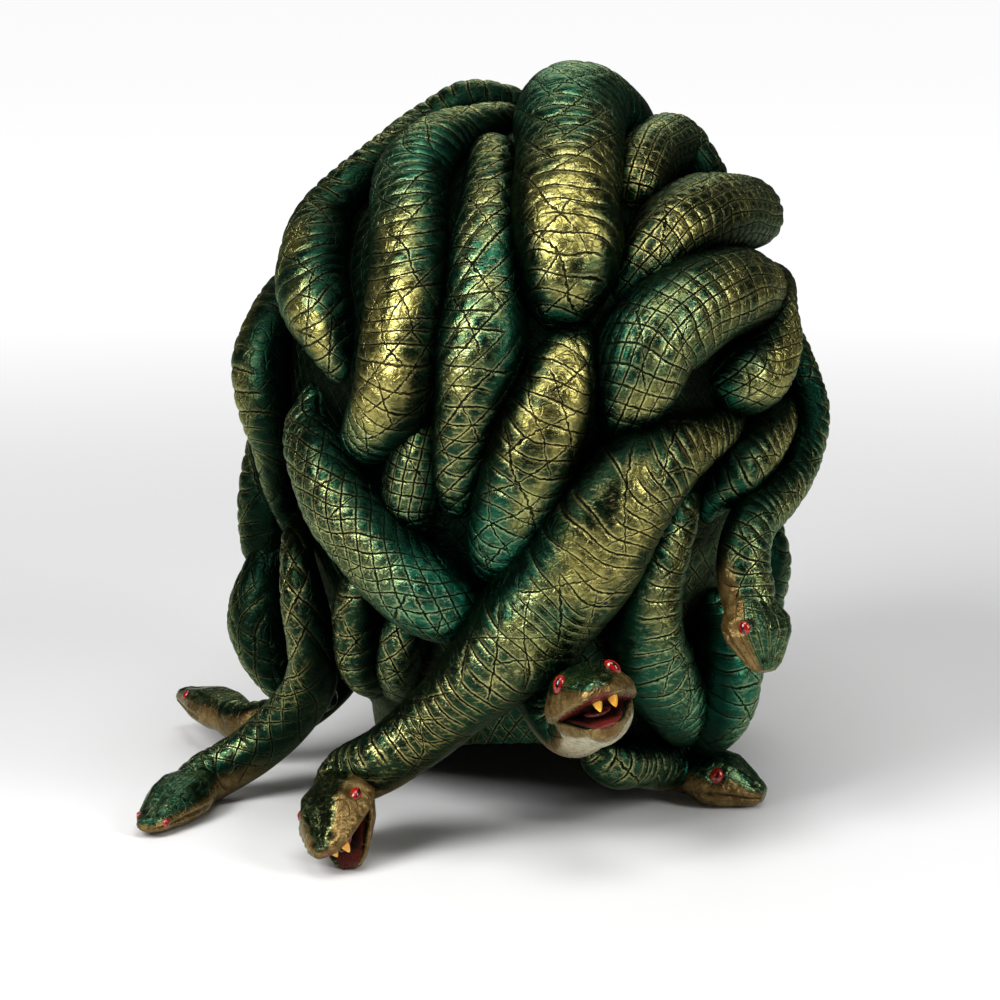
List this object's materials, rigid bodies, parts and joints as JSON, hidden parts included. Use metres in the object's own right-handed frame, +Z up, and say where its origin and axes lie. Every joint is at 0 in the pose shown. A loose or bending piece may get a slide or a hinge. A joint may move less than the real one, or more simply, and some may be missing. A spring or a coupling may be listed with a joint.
{
  "type": "gorgon mask",
  "caption": "Hollow over-the-head gorgon mask with a calm face, a dome of carved snakes and snake heads at the neck.",
  "frame": {"origin": "middle of the bounding box on the surface that the mask stands on", "axes": "+Z up; the face looks along +Y, and the back that the picture shows looks along -Y; +X is the right of someone facing +Y"},
  "size_m": [0.3362, 0.3202, 0.3652],
  "materials": {
    "painted_latex": "pearl paint over dark green latex, semi-gloss"
  },
  "bodies": {
    "root": {"mask": "painted_latex"}
  },
  "joints": []
}
